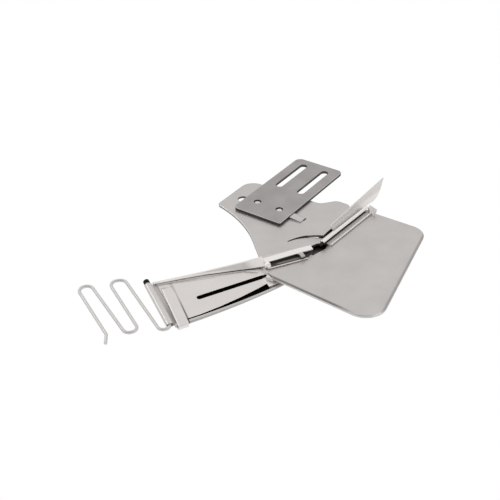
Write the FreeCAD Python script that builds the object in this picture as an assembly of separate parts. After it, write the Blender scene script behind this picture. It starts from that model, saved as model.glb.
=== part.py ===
"""Binder foot for a sewing machine: a slotted fixing plate riveted to a sheet base, with a tape
folder that narrows towards the needle, a wire tape guide at its mouth and a delivery channel
that turns the folded tape towards the seam.

Frame: millimetres, +Z up. The origin lies midway between the two fixing slots, on the underside
of the fixing plate, which is the face that seats on the machine bed. +Y is the sewing direction
and +X points away from the slotted side, across the wing of the base.
"""
import FreeCAD, Part
import math
import os

Vec = FreeCAD.Vector

# Clearance left between seated pieces, and the size of a broken edge
SEAT_GAP = 0.05
RIM_BREAK = 0.25

# Fixing plate
FIX_WIDTH = 30.0
FIX_FRONT = 46.8
FIX_REAR = 20.2
FIX_THICK = 1.6
FIX_REAR_LEFT_RADIUS = 4.0
FIX_REAR_RIGHT_RADIUS = 3.0
FIX_LEFT_RADIUS = 3.0
FIX_RIGHT_RADIUS = 0.6
SLOT_WIDTH = 4.3
SLOT_LENGTH = 30.0
SLOT_PITCH = 14.0

# Rivets
RIVET_DIA = 4.0
RIVET_ROW = 35.0
RIVET_RECESS = 0.55
RIVET_DOME = 0.35
RIVET_HEAD_DIA = 6.6
RIVET_HEAD_HEIGHT = 0.9
RIVET_CLEARANCE = 0.05

# Base sheet
BASE_THICK = 1.2
BASE_LEFT = 25.3
BASE_FRONT = 87.4
BASE_FRONT_DROP = 4.0
BASE_LEFT_END = 47.2
LOBE_REAR = 15.9
HUMP_REAR = 7.4
HUMP_LEFT = 27.0
HUMP_RIGHT = 34.6
HUMP_RUN = 6.4
NOTCH_REAR = 11.2
NOTCH_RIGHT = 44.0
WING_REAR = 7.5
WING_REAR_RIGHT = 80.7
WING_FRONT_RIGHT = 95.6
WING_FRONT_LEFT = 33.2
SWEEP_JOIN = (12.0, -67.2)
SWEEP_MIDDLE = (-5.2, -54.5)
LOCATING_HOLE_DIA = 5.6
LOCATING_HOLE_X = 16.7

# Locating tab, lanced up out of the base beside the fixing plate
TAB_LENGTH = 7.0
TAB_WIDTH = 4.8
TAB_HEIGHT = 1.1
TAB_TIP_HEIGHT = 0.45
TAB_FRONT = 38.0
TAB_GAP = 0.25
TAB_SLIT = 0.5

# Tape folder. Its own axes: s runs along the tape path from the mouth, and q runs across it,
# towards the front. s = 0 lies where the folder meets the base sheet.
FOLDER_X = 27.0
FOLDER_Y = -80.0
FOLDER_YAW = 31.0
FOLDER_ROLL = 6.0
FOLDER_FACE_Z = -1.6
FOLDER_SHEET = 0.6
FOLDER_BEND = 0.55
FOLDER_DEPTH = 1.7
MOUTH_S = -55.2
TRAY_END_S = 8.0
NEAR_EDGE_AT_BASE = 16.2
NEAR_EDGE_SLOPE = 0.2
NEAR_EDGE_CURVE = 0.00132
NEAR_WALL_LEAN = 1.2
NEAR_LIP_MOUTH = 1.9
NEAR_LIP_BASE = 1.0
FAR_EDGE_AT_BASE = -2.9
FAR_EDGE_SLOPE = 0.093
RIDGE_AT_BASE = 2.45
RIDGE_SLOPE = 0.042
LEAF_AT_BASE = 4.4
LEAF_SLOPE = 0.09
LEAF_MIN = 1.4
LEAF_OVER_FACE = 0.8
LEAF_LIFT_START_S = -11.0
LEAF_LIFT_SLOPE = 0.15
LEAF_LIFT_REACH = 1.1
FOLDER_STATIONS = [MOUTH_S, -42.0, -30.0, -20.0, -11.0, -3.0, TRAY_END_S]
BASE_SLOT_GAP = 0.1

# Slotted insert of the folder
INSERT_SHEET = 0.6
INSERT_START_S = -53.6
INSERT_NEAR_MOUTH = 20.5
INSERT_NEAR_BASE = 10.9
INSERT_NEAR_POWER = 1.7
INSERT_CREASE_MOUTH = -5.6
INSERT_CREASE_BASE = 2.8
INSERT_FAR_GAP = 0.6
INSERT_FAR_MOUTH_Z = -0.9
SIGHT_SLOT_WIDTH = 2.5
SIGHT_SLOT_START = (-38.3, 9.1)
SIGHT_SLOT_END = (-1.9, 6.8)

# Mouth clip: a rolled sleeve across the mouth with a strap folded round the folder
SLEEVE_S = -57.35
SLEEVE_WIDTH = 3.7
SLEEVE_HEIGHT = 2.7
SLEEVE_WALL = 0.5
SLEEVE_FAR_Q = -9.0
SLEEVE_NEAR_Q = 20.3
STRAP_SHEET = 0.5
STRAP_CUT = [(-52.9, -3.2), (-47.6, -1.6), (-49.6, 28.0), (-54.7, 28.0)]
STRAP_UNDER_Q = 6.0
STRAP_GAP = 0.12

# Wire guide
WIRE_DIA = 1.6
WIRE_SIDES = 16
WIRE_DROP = 0.9
WIRE_HOOK_BEND = 1.8
WIRE_TOP_BEND = 3.3
WIRE_LOW_BEND = 3.05
WIRE_END_BEND = 2.55
WIRE_FAR_END_Q = -11.4
WIRE_LOOPS = [(-87.9, 20.4), (-85.9, 15.2), (-89.4, -19.9), (-82.6, -18.7), (-77.8, 17.8), (-71.3, 18.4),
              (-74.2, -18.4), (-66.5, -16.7), (-62.75, 21.8)]
WIRE_LEG_NEAR_Q = 22.2
CAP_DIA = 3.0
CAP_LENGTH = 2.2
CAP_BEYOND_WIRE = 1.1
CAP_CHAMFER_SHARE = 0.45
CAP_BORE_GAP = 0.05

# Channel on the base, from the folder to the turn
CHANNEL_START_S = -0.4
CHANNEL_END_S = 25.9
CHANNEL_LIP_END_S = 21.2
CHANNEL_SHEET = 0.6
CHANNEL_LIP_Q = 5.7
CHANNEL_LIP_HEIGHT = 0.85
CHANNEL_BACK_END_Q = -0.9
CHANNEL_RISE = 0.5
CHANNEL_LEAF_WIDTH = 7.0
CHANNEL_LEAF_FALL = 1.0
CHANNEL_LEAF_Q = 2.3
CHANNEL_FINGER_S = 17.8
CHANNEL_FINGER_WIDTH = 2.2
CHANNEL_FINGER_RADIUS = 1.4
CHANNEL_BEND = 0.5

# Delivery channel, from the turn to the rear edge
DELIVERY_X = 46.8
DELIVERY_Y = -48.3
DELIVERY_YAW = 3.5
DELIVERY_LENGTH = 40.1
DELIVERY_SHEET = 0.6
DELIVERY_WIDTH = 5.7
DELIVERY_HEIGHT = 3.6
DELIVERY_LIP_HEIGHT = 1.15
DELIVERY_TOP_GAP = 1.0
DELIVERY_BEND = 0.6
DELIVERY_TOP_BEND = 1.2
END_TAB_WIDTH = 4.4
END_TAB_INSET = 2.5
END_TAB_HEIGHT = 3.4
END_TAB_DROP = 1.1

# Guide blade beside the delivery channel
BLADE_SHEET = 0.5
BLADE_START = 10.7
BLADE_FOOT_END = 47.5
BLADE_SWEEP = (56.7, 1.9)
BLADE_SWEEP_END = (61.8, 4.9)
BLADE_REACH = 64.5
BLADE_LEAN = 20.0
BLADE_FOOT_Z = 0.75
BLADE_START_HEIGHT = 4.3
BLADE_TIP_HEIGHT = 7.8
BLADE_BOW = 0.45

# Turn window in the base, the sheet pressed down beside it and the cup under it
WINDOW_LEFT = (26.2, -57.2)
WINDOW_SWEEP = (30.2, -48.5)
WINDOW_TOP = (38.4, -41.8)
WINDOW_REAR = -33.2
WINDOW_RIGHT = 42.4
TURN_RIGHT = (45.3, -52.0)
TURN_FRONT = (43.4, -60.2)
WINDOW_UNDER = (34.0, -66.0)
STRIP_WIDTH = 2.6
DISH_DROP_ANGLE = 3.3
DISH_GAP = 0.7
CUP_SHEET = 0.6
CUP_DEPTH = 3.2
CUP_MARGIN = 2.0


def arc_mid(a, b, sag):
    """Middle point of the arc from a to b that bulges to the left of a to b by sag."""
    run = b - a
    left = Vec(-run.y, run.x, 0)
    left.normalize()
    return (a + b) * 0.5 + left * sag


def prism(outline, bottom, height):
    """Solid from a closed list of corners (x, y), from the height bottom upwards."""
    corners = [Vec(x, y, bottom) for x, y in outline]
    face = Part.Face(Part.makePolygon(corners + corners[:1]))
    return face.extrude(Vec(0, 0, height))


def round_corners(solid, corners):
    """Round the upright edges at the places (x, y, radius)."""
    for x, y, radius in corners:
        edges = [e for e in solid.Edges
                 if all(math.hypot(v.X - x, v.Y - y) < 0.02 for v in e.Vertexes)]
        solid = solid.makeFillet(radius, edges)
    return solid


def break_rim(solid, size, z):
    """Break the outer rim of a flat sheet at one height, as punching leaves it."""
    rim = []
    for edge in solid.Edges:
        box = edge.BoundBox
        if abs(box.ZMin - z) < 1e-6 and abs(box.ZMax - z) < 1e-6:
            rim.append(edge)
    return solid.makeChamfer(size, rim)


def folded_outline(points, bends, thick):
    """Both sides of a folded sheet, as lines and arcs, round a middle line with bend radii."""
    runs = [(b - a).normalize() for a, b in zip(points, points[1:])]
    lefts = [Vec(-d.y, d.x, 0) for d in runs]
    sides = []
    for offset in (thick / 2, -thick / 2):
        side = []
        start = points[0] + lefts[0] * offset
        for i in range(1, len(points) - 1):
            turn = math.atan2(runs[i - 1].cross(runs[i]).z, runs[i - 1].dot(runs[i]))
            sign = 1 if turn > 0 else -1
            radius = bends[i - 1]
            reach = radius * math.tan(abs(turn) / 2)
            into = points[i] - runs[i - 1] * reach
            centre = into + lefts[i - 1] * radius * sign
            out = (points[i] - centre).normalize()
            first = into + lefts[i - 1] * offset
            middle = centre + out * (radius - sign * offset)
            last = points[i] + runs[i] * reach + lefts[i] * offset
            side.append((start, first))
            side.append((first, middle, last))
            start = last
        side.append((start, points[-1] + lefts[-1] * offset))
        sides.append(side)
    back = [tuple(reversed(piece)) for piece in reversed(sides[1])]
    return sides[0] + [(sides[0][-1][-1], back[0][0])] + back + [(back[-1][-1], sides[0][0][0])]


def outline_wire(outline, place):
    """Wire of an outline of lines and arcs, with each point put into space by place."""
    edges = []
    for piece in outline:
        ends = [place(p) for p in piece]
        if len(ends) == 2:
            edges.append(Part.LineSegment(*ends).toShape())
        else:
            edges.append(Part.Arc(*ends).toShape())
    return Part.Wire(edges)


def folded_sheet(sections, bends, thick):
    """Solid through sections (place, points) of one folded sheet."""
    wires = [outline_wire(folded_outline(points, bends, thick), place) for place, points in sections]
    return Part.makeLoft(wires, True, True)


def wire_section(centre, along, dia):
    """Face across a wire. It has many flat sides, which keeps the bends light."""
    side = along.cross(Vec(0, 0, 1)).normalize()
    up = side.cross(along).normalize()
    corners = []
    for i in range(WIRE_SIDES):
        turn = 2 * math.pi * (i + 0.5) / WIRE_SIDES
        corners.append(centre + side * (math.cos(turn) * dia / 2) + up * (math.sin(turn) * dia / 2))
    return Part.Face(Part.makePolygon(corners + corners[:1]))


def bent_wire(corners, radii, dia):
    """Wire of straight runs joined by bends, with its section carried along it."""
    solids = []
    start = corners[0]
    section = wire_section(start, Vec(corners[1] - start).normalize(), dia)
    for i in range(1, len(corners) - 1):
        before = (corners[i] - corners[i - 1]).normalize()
        after = (corners[i + 1] - corners[i]).normalize()
        turn = before.getAngle(after)
        reach = radii[i - 1] * math.tan(turn / 2)
        first = corners[i] - before * reach
        solids.append(section.extrude(first - start))
        section = section.translated(first - start)
        axis = before.cross(after).normalize()
        centre = first + axis.cross(before) * radii[i - 1]
        solids.append(section.revolve(centre, axis, math.degrees(turn)))
        section = section.rotated(centre, axis, math.degrees(turn))
        start = corners[i] + after * reach
    solids.append(section.extrude(corners[-1] - start))
    return solids[0].fuse(solids[1:]).removeSplitter()


def along_run(start, end):
    """Place for a section square to the run from start to end: x is to its right, y is up."""
    run = Vec(end - start).normalize()
    right = run.cross(Vec(0, 0, 1)).normalize()
    up = right.cross(run)
    return lambda p: start + right * p.x + up * p.y


# Folder axes in the part's frame
S_AXIS = Vec(math.sin(math.radians(FOLDER_YAW)), math.cos(math.radians(FOLDER_YAW)), 0)
Q_AXIS = Vec(math.cos(math.radians(FOLDER_YAW)), -math.sin(math.radians(FOLDER_YAW)), 0)
FOLDER_ORIGIN = Vec(FOLDER_X, FOLDER_Y, 0)
ROLL_SLOPE = math.tan(math.radians(FOLDER_ROLL))


def folder_point(s, q, z):
    return FOLDER_ORIGIN + S_AXIS * s + Q_AXIS * q + Vec(0, 0, z)


def prism_on_folder(corners, z, height):
    """Upright prism over corners (s, q) of the folder's axes."""
    points = [folder_point(s, q, 0) for s, q in corners]
    return prism([(p.x, p.y) for p in points], z, height)


def across_folder(s):
    """Place for a section that lies across the folder at s, with points (q, z)."""
    return lambda p: folder_point(s, p.x, p.y)


def face_z(q):
    """Height of the folder's flat face, which drops towards the front."""
    return FOLDER_FACE_Z - ROLL_SLOPE * q


def near_edge(s):
    return NEAR_EDGE_AT_BASE - NEAR_EDGE_SLOPE * s - NEAR_EDGE_CURVE * s * s


def far_edge(s):
    return FAR_EDGE_AT_BASE + FAR_EDGE_SLOPE * s


def ridge_z(s):
    return RIDGE_AT_BASE + RIDGE_SLOPE * s


def leaf_width(s):
    return max(LEAF_MIN, LEAF_AT_BASE + LEAF_SLOPE * s)


def blend(s, at_mouth, at_base):
    """Straight run between a value at the mouth and one at the base."""
    share = (s - MOUTH_S) / (0 - MOUTH_S)
    return at_mouth + (at_base - at_mouth) * share


# Delivery channel axes
RUN_AXIS = Vec(math.sin(math.radians(DELIVERY_YAW)), math.cos(math.radians(DELIVERY_YAW)), 0)
SIDE_AXIS = Vec(math.cos(math.radians(DELIVERY_YAW)), -math.sin(math.radians(DELIVERY_YAW)), 0)
DELIVERY_ORIGIN = Vec(DELIVERY_X, DELIVERY_Y, 0)


def delivery_point(run, side, z):
    return DELIVERY_ORIGIN + RUN_AXIS * run + SIDE_AXIS * side + Vec(0, 0, z)


def fixing_plate():
    half = FIX_WIDTH / 2
    outline = [(-half, -FIX_FRONT), (half, -FIX_FRONT), (half, FIX_REAR), (-half, FIX_REAR)]
    plate = prism(outline, 0, FIX_THICK)
    plate = round_corners(plate, [
        (-half, FIX_REAR, FIX_REAR_LEFT_RADIUS),
        (half, FIX_REAR, FIX_REAR_RIGHT_RADIUS),
        (-half, -FIX_FRONT, FIX_LEFT_RADIUS),
        (half, -FIX_FRONT, FIX_RIGHT_RADIUS),
    ])
    plate = break_rim(plate, RIM_BREAK, FIX_THICK)
    reach = (SLOT_LENGTH - SLOT_WIDTH) / 2
    for x in (-SLOT_PITCH / 2, SLOT_PITCH / 2):
        slot = Part.makeBox(SLOT_WIDTH, 2 * reach, 2 * FIX_THICK,
                            Vec(x - SLOT_WIDTH / 2, -reach, -FIX_THICK / 2))
        for end in (-reach, reach):
            slot = slot.fuse(Part.makeCylinder(SLOT_WIDTH / 2, 2 * FIX_THICK, Vec(x, end, -FIX_THICK / 2)))
        plate = plate.cut(slot.removeSplitter())
        hole = Part.makeCylinder(RIVET_DIA / 2 + RIVET_CLEARANCE, 2 * FIX_THICK,
                                 Vec(x, -RIVET_ROW, -FIX_THICK / 2))
        plate = plate.cut(hole)
    return plate


def rivet(x):
    """Rivet with its head under the base and its domed end just below the top of the plate."""
    under = -BASE_THICK - RIVET_HEAD_HEIGHT
    head = Part.makeCylinder(RIVET_HEAD_DIA / 2, RIVET_HEAD_HEIGHT, Vec(0, 0, under))
    low = [e for e in head.Edges if e.BoundBox.ZMax < under + 0.01]
    head = head.makeChamfer(RIVET_HEAD_HEIGHT * 0.6, low)
    top = FIX_THICK - RIVET_RECESS
    shank = Part.makeCylinder(RIVET_DIA / 2, top + BASE_THICK + 0.2, Vec(0, 0, -BASE_THICK - 0.2))
    high = [e for e in shank.Edges if e.BoundBox.ZMin > top - 0.01]
    solid = head.fuse(shank.makeChamfer(RIVET_DOME, high)).removeSplitter()
    solid.translate(Vec(x, -RIVET_ROW, 0))
    return solid


def window_outline(inset, past_hinge):
    """Turn window, drawn in by inset on its cut sides and let out past its hinge."""
    left = Vec(WINDOW_LEFT[0] + inset * 0.5 - past_hinge, WINDOW_LEFT[1] - inset, 0)
    sweep = Vec(WINDOW_SWEEP[0] + inset * 0.8, WINDOW_SWEEP[1] - inset * 0.6, 0)
    top = Vec(WINDOW_TOP[0] + inset, WINDOW_TOP[1] - inset, 0)
    rear_left = Vec(WINDOW_TOP[0] + inset, WINDOW_REAR - inset, 0)
    rear_right = Vec(WINDOW_RIGHT - inset, WINDOW_REAR - inset, 0)
    right = Vec(TURN_RIGHT[0] - inset, TURN_RIGHT[1], 0)
    front = Vec(TURN_FRONT[0] - inset, TURN_FRONT[1] + inset, 0)
    under = Vec(WINDOW_UNDER[0] - past_hinge, WINDOW_UNDER[1] + inset - past_hinge, 0)
    edges = [Part.Arc(left, sweep, top).toShape()]
    corners = [top, rear_left, rear_right, right, front, under, left]
    for a, b in zip(corners, corners[1:]):
        edges.append(Part.LineSegment(a, b).toShape())
    return Part.Face(Part.Wire(edges))


def pressed_flap(bottom, height):
    """Sheet inside the turn window, still joined along its left edge and pressed down."""
    flap = window_outline(DISH_GAP, 0.4)
    flap.translate(Vec(0, 0, bottom))
    flap = flap.extrude(Vec(0, 0, height))
    hinge_a = Vec(WINDOW_LEFT[0], WINDOW_LEFT[1], 0)
    hinge_b = Vec(WINDOW_UNDER[0], WINDOW_UNDER[1], 0)
    flap.rotate(hinge_a, hinge_b - hinge_a, -DISH_DROP_ANGLE)
    return flap


def base_plate():
    rear = -WING_REAR
    left_end = Vec(-BASE_LEFT, -BASE_LEFT_END, 0)
    front_left = Vec(WING_FRONT_LEFT, -BASE_FRONT, 0)
    corners = [
        left_end,
        Vec(-BASE_LEFT, -LOBE_REAR, 0),
        Vec(HUMP_LEFT - HUMP_RUN, -LOBE_REAR + 0.6, 0),
        Vec(HUMP_LEFT, -HUMP_REAR, 0),
        Vec(HUMP_RIGHT, -HUMP_REAR, 0),
        Vec(HUMP_RIGHT + 2.6, -NOTCH_REAR, 0),
        Vec(NOTCH_RIGHT, -NOTCH_REAR, 0),
        Vec(NOTCH_RIGHT + 2.8, rear, 0),
        Vec(WING_REAR_RIGHT, rear, 0),
        Vec(WING_FRONT_RIGHT, -BASE_FRONT - BASE_FRONT_DROP, 0),
        front_left,
    ]
    edges = [Part.LineSegment(a, b).toShape() for a, b in zip(corners, corners[1:])]
    join = Vec(*SWEEP_JOIN, 0)
    edges.append(Part.LineSegment(front_left, join).toShape())
    edges.append(Part.Arc(join, Vec(*SWEEP_MIDDLE, 0), left_end).toShape())
    sheet = Part.Face(Part.Wire(edges))
    sheet.translate(Vec(0, 0, -BASE_THICK))
    sheet = sheet.extrude(Vec(0, 0, BASE_THICK))
    radii = [3.0, 8.0, 5.0, 4.5, 3.0, 1.6, 1.6, 2.0, 9.0, 11.0, 1.6]
    sheet = round_corners(sheet, [(c.x, c.y, r) for c, r in zip(corners, radii)])
    sheet = break_rim(sheet, RIM_BREAK, 0)
    deep = 3 * BASE_THICK
    for x in (-SLOT_PITCH / 2, SLOT_PITCH / 2):
        hole = Part.makeCylinder(RIVET_DIA / 2 + RIVET_CLEARANCE, deep, Vec(x, -RIVET_ROW, -deep / 2))
        sheet = sheet.cut(hole)
    hole = Part.makeCylinder(LOCATING_HOLE_DIA / 2, deep, Vec(-LOCATING_HOLE_X, -RIVET_ROW, -deep / 2))
    sheet = sheet.cut(hole)
    window = window_outline(0, 0)
    window.translate(Vec(0, 0, -deep / 2))
    sheet = sheet.cut(window.extrude(Vec(0, 0, deep)))
    sheet = sheet.cut(folder_notch())
    sheet = sheet.fuse(pressed_flap(-BASE_THICK, BASE_THICK)).cut(turn_hole())
    return sheet.fuse(locating_tab()).cut(tab_slits()).removeSplitter()


def turn_hole():
    """Holes through the pressed sheet: the turn's opening and the strip beside the delivery channel."""
    sheet = pressed_flap(-BASE_THICK - 1, BASE_THICK + 3)
    deep = 4 * BASE_THICK
    turn_left, turn_front = TURN_FRONT
    right = TURN_RIGHT[0]
    turn = prism([(turn_left - 3.1, turn_front + 1.8), (turn_left - 5.6, turn_front + 7.8),
                  (turn_left - 4.5, turn_front + 11.2), (right - 2.9, TURN_RIGHT[1] + 6.6),
                  (right + 1.1, TURN_RIGHT[1] + 4.8), (right + 1.1, TURN_RIGHT[1] - 0.4),
                  (turn_left + 0.6, turn_front - 0.6)], -deep, 2 * deep)
    left = WINDOW_TOP[0] - 1
    rear = WINDOW_REAR + 1
    strip = prism([(left, WINDOW_TOP[1] + 0.6), (left + STRIP_WIDTH, WINDOW_TOP[1] + 0.6),
                   (WINDOW_RIGHT + 1, rear - STRIP_WIDTH), (WINDOW_RIGHT + 1, rear), (left, rear)],
                  -deep, 2 * deep)
    return sheet.common(turn.fuse(strip))


def folder_notch():
    """Slot in the base that lets the folder's far wall through from below."""
    wide = FOLDER_SHEET / 2 + BASE_SLOT_GAP
    corners = []
    for s, q in ((-9, far_edge(-9) - wide), (CHANNEL_START_S + 0.2, far_edge(0) - wide),
                 (CHANNEL_START_S + 0.2, far_edge(0) + wide), (-9, far_edge(-9) + wide)):
        p = folder_point(s, q, 0)
        corners.append((p.x, p.y))
    return prism(corners, -3 * BASE_THICK, 6 * BASE_THICK)


def locating_tab():
    start = FIX_WIDTH / 2 + TAB_GAP
    profile = [Vec(start, -TAB_FRONT, -BASE_THICK / 2), Vec(start, -TAB_FRONT, TAB_HEIGHT),
               Vec(start + TAB_LENGTH, -TAB_FRONT, TAB_TIP_HEIGHT),
               Vec(start + TAB_LENGTH, -TAB_FRONT, -BASE_THICK / 2)]
    tab = Part.Face(Part.makePolygon(profile + profile[:1])).extrude(Vec(0, TAB_WIDTH, 0))
    return tab


def tab_slits():
    start = FIX_WIDTH / 2 + TAB_GAP
    rear = -TAB_FRONT + TAB_WIDTH
    behind = Part.makeBox(TAB_LENGTH + TAB_SLIT, TAB_SLIT, 3 * BASE_THICK, Vec(start, rear, -2 * BASE_THICK))
    beyond = Part.makeBox(TAB_SLIT, TAB_WIDTH * 0.5, 3 * BASE_THICK,
                          Vec(start + TAB_LENGTH, rear - TAB_WIDTH * 0.5, -2 * BASE_THICK))
    return behind.fuse(beyond)


def folder_section(s):
    """Middle line of the folder's sheet at s, from the near lip round to the upper leaf's edge."""
    near = near_edge(s)
    far = far_edge(s)
    bottom_near = near - NEAR_WALL_LEAN
    lip = blend(s, NEAR_LIP_MOUTH, NEAR_LIP_BASE)
    top = FOLDER_SHEET / 2
    # Towards the base the leaf's free edge lifts off the face and reaches further over it
    lift = max(0.0, s - LEAF_LIFT_START_S) * LEAF_LIFT_SLOPE
    leaf_q = far + leaf_width(s) + lift * LEAF_LIFT_REACH
    leaf_z = face_z(leaf_q) + LEAF_OVER_FACE + lift
    return [
        Vec(near - lip, face_z(near - lip) - top, 0),
        Vec(near, face_z(near) - top, 0),
        Vec(bottom_near, face_z(bottom_near) - FOLDER_DEPTH, 0),
        Vec(far, face_z(far) - FOLDER_DEPTH, 0),
        Vec(far, ridge_z(s), 0),
        Vec(leaf_q, leaf_z, 0),
    ]


def folder_shell():
    """Tray under the base with its near lip, far wall and the upper leaf that folds the tape."""
    sections = [(across_folder(s), folder_section(s)) for s in FOLDER_STATIONS]
    bends = [0.4, 0.4, FOLDER_BEND, FOLDER_BEND]
    shell = folded_sheet(sections, bends, FOLDER_SHEET)
    over = [folder_point(s, q, 0) for s, q in ((0, -20), (30, -20), (30, 30), (0, 30))]
    above = prism([(p.x, p.y) for p in over], -BASE_THICK - SEAT_GAP, 10)
    above.translate(S_AXIS * (CHANNEL_START_S - SEAT_GAP))
    return shell.cut(above)


def insert_section(s):
    share = (s - INSERT_START_S) / (0 - INSERT_START_S)
    near = INSERT_NEAR_MOUTH + (INSERT_NEAR_BASE - INSERT_NEAR_MOUTH) * share ** INSERT_NEAR_POWER
    crease = INSERT_CREASE_MOUTH + (INSERT_CREASE_BASE - INSERT_CREASE_MOUTH) * share
    far = far_edge(s) + INSERT_FAR_GAP
    mid = INSERT_SHEET / 2
    far_z = INSERT_FAR_MOUTH_Z + (-BASE_THICK - SEAT_GAP - INSERT_FAR_MOUTH_Z) * min(1.0, share)
    return [
        Vec(near, face_z(near) - mid, 0),
        Vec(crease, face_z(crease) - mid, 0),
        Vec(far, far_z - mid, 0),
    ]


def folder_insert():
    """Flat slotted face of the folder, with a shallow crease along its far side."""
    stations = [INSERT_START_S, -42.0, -31.0, -20.0, -10.0, 0.0, TRAY_END_S - 1.0]
    sections = [(across_folder(s), insert_section(s)) for s in stations]
    sheet = folded_sheet(sections, [1.5], INSERT_SHEET)
    a = folder_point(*SIGHT_SLOT_START, 0)
    b = folder_point(*SIGHT_SLOT_END, 0)
    run = (b - a).normalize()
    side = Vec(-run.y, run.x, 0) * (SIGHT_SLOT_WIDTH / 2)
    corners = [a + side, a - side, b - side, b + side]
    deep = 12.0
    slot = prism([(c.x, c.y) for c in corners], -deep, deep)
    for end in (a, b):
        slot = slot.fuse(Part.makeCylinder(SIGHT_SLOT_WIDTH / 2, deep, end + Vec(0, 0, -deep)))
    return sheet.cut(slot.removeSplitter())


def sleeve_outline(width, height):
    """Rounded bar section of the sleeve, in (s, z) about its own middle."""
    straight = (width - height) / 2
    r = height / 2
    return [
        (Vec(-straight, -r, 0), Vec(straight, -r, 0)),
        (Vec(straight, -r, 0), Vec(straight + r, 0, 0), Vec(straight, r, 0)),
        (Vec(straight, r, 0), Vec(-straight, r, 0)),
        (Vec(-straight, r, 0), Vec(-straight - r, 0, 0), Vec(-straight, -r, 0)),
    ]


def sleeve_bar(width, height):
    """Straight bar across the mouth, following the folder's roll."""
    far = folder_point(SLEEVE_S, SLEEVE_FAR_Q, face_z(SLEEVE_FAR_Q) - WIRE_DROP)
    near = folder_point(SLEEVE_S, SLEEVE_NEAR_Q, face_z(SLEEVE_NEAR_Q) - WIRE_DROP)
    outline = outline_wire(sleeve_outline(width, height), along_run(far, near))
    return Part.Face(outline).extrude(near - far)


def mouth_clip():
    """Rolled sleeve across the mouth and the strap that wraps round the folder."""
    sleeve = sleeve_bar(SLEEVE_WIDTH, SLEEVE_HEIGHT)
    bore = sleeve_bar(SLEEVE_WIDTH - 2 * SLEEVE_WALL, SLEEVE_HEIGHT - 2 * SLEEVE_WALL)
    lift = STRAP_GAP + STRAP_SHEET / 2
    first = SLEEVE_S + SLEEVE_WIDTH / 2
    last = STRAP_CUT[1][0] + 1.0
    start = folder_point(first, near_edge(first), 0)
    end = folder_point(last, near_edge(last), 0)
    near = FOLDER_SHEET / 2 + lift + 0.35
    drop = face_z(near_edge(STRAP_CUT[0][0]))
    below = FOLDER_DEPTH + FOLDER_SHEET / 2 + lift
    wide = near_edge(first) - STRAP_CUT[0][1] + 4
    under = near_edge(first) - STRAP_UNDER_Q
    section = [
        Vec(-wide, drop + ROLL_SLOPE * wide + lift, 0),
        Vec(near, drop - ROLL_SLOPE * near + lift, 0),
        Vec(near - NEAR_WALL_LEAN, drop - ROLL_SLOPE * near - below, 0),
        Vec(-under, drop + ROLL_SLOPE * under - below, 0),
    ]
    outline = folded_outline(section, [0.5, 0.5], STRAP_SHEET)
    strap = Part.Face(outline_wire(outline, along_run(start, end))).extrude(end - start)
    corners = [folder_point(s, q, 0) for s, q in STRAP_CUT]
    strap = strap.common(prism([(c.x, c.y) for c in corners], -12, 20))
    below = FOLDER_DEPTH + FOLDER_SHEET / 2 + STRAP_GAP
    corners = []
    for q in (STRAP_UNDER_Q, SLEEVE_NEAR_Q - 1.0):
        z = face_z(q) - below
        wire = [folder_point(SLEEVE_S, q, z - STRAP_SHEET), folder_point(STRAP_CUT[0][0], q, z - STRAP_SHEET),
                folder_point(STRAP_CUT[0][0], q, z), folder_point(SLEEVE_S, q, z)]
        corners.append(Part.makePolygon(wire + wire[:1]))
    tongue = Part.makeLoft(corners, True, True)
    return sleeve.fuse(tongue).cut(bore).fuse(strap).removeSplitter()


def wire_guide():
    """One length of wire: hooked free end, three long loops and the leg inside the sleeve."""
    path = WIRE_LOOPS + [(SLEEVE_S, WIRE_LEG_NEAR_Q), (SLEEVE_S, WIRE_FAR_END_Q)]
    corners = [folder_point(s, q, face_z(q) - WIRE_DROP) for s, q in path]
    bends = [WIRE_HOOK_BEND] + 2 * [WIRE_TOP_BEND] + 2 * [WIRE_LOW_BEND] + 2 * [WIRE_TOP_BEND]
    bends += 2 * [WIRE_END_BEND]
    return bent_wire(corners, bends, WIRE_DIA)


def wire_cap():
    """Small moulded cap on the far end of the wire."""
    r = CAP_DIA / 2
    bore = WIRE_DIA / 2 + CAP_BORE_GAP
    body = Part.makeCylinder(r, CAP_LENGTH, Vec(0, 0, 0), Vec(0, 0, 1))
    rim = [e for e in body.Edges if e.BoundBox.ZMin > CAP_LENGTH - 0.01]
    body = body.makeChamfer(r * CAP_CHAMFER_SHARE, rim)
    over_wire = CAP_LENGTH - CAP_BEYOND_WIRE
    body = body.cut(Part.makeCylinder(bore, over_wire + CAP_BORE_GAP, Vec(0, 0, -0.01), Vec(0, 0, 1)))
    near = folder_point(SLEEVE_S, WIRE_FAR_END_Q, face_z(WIRE_FAR_END_Q) - WIRE_DROP)
    inner = folder_point(SLEEVE_S, 0, face_z(0) - WIRE_DROP)
    out = (near - inner).normalize()
    body.Placement = FreeCAD.Placement(near - out * over_wire, FreeCAD.Rotation(Vec(0, 0, 1), out))
    return body


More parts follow.
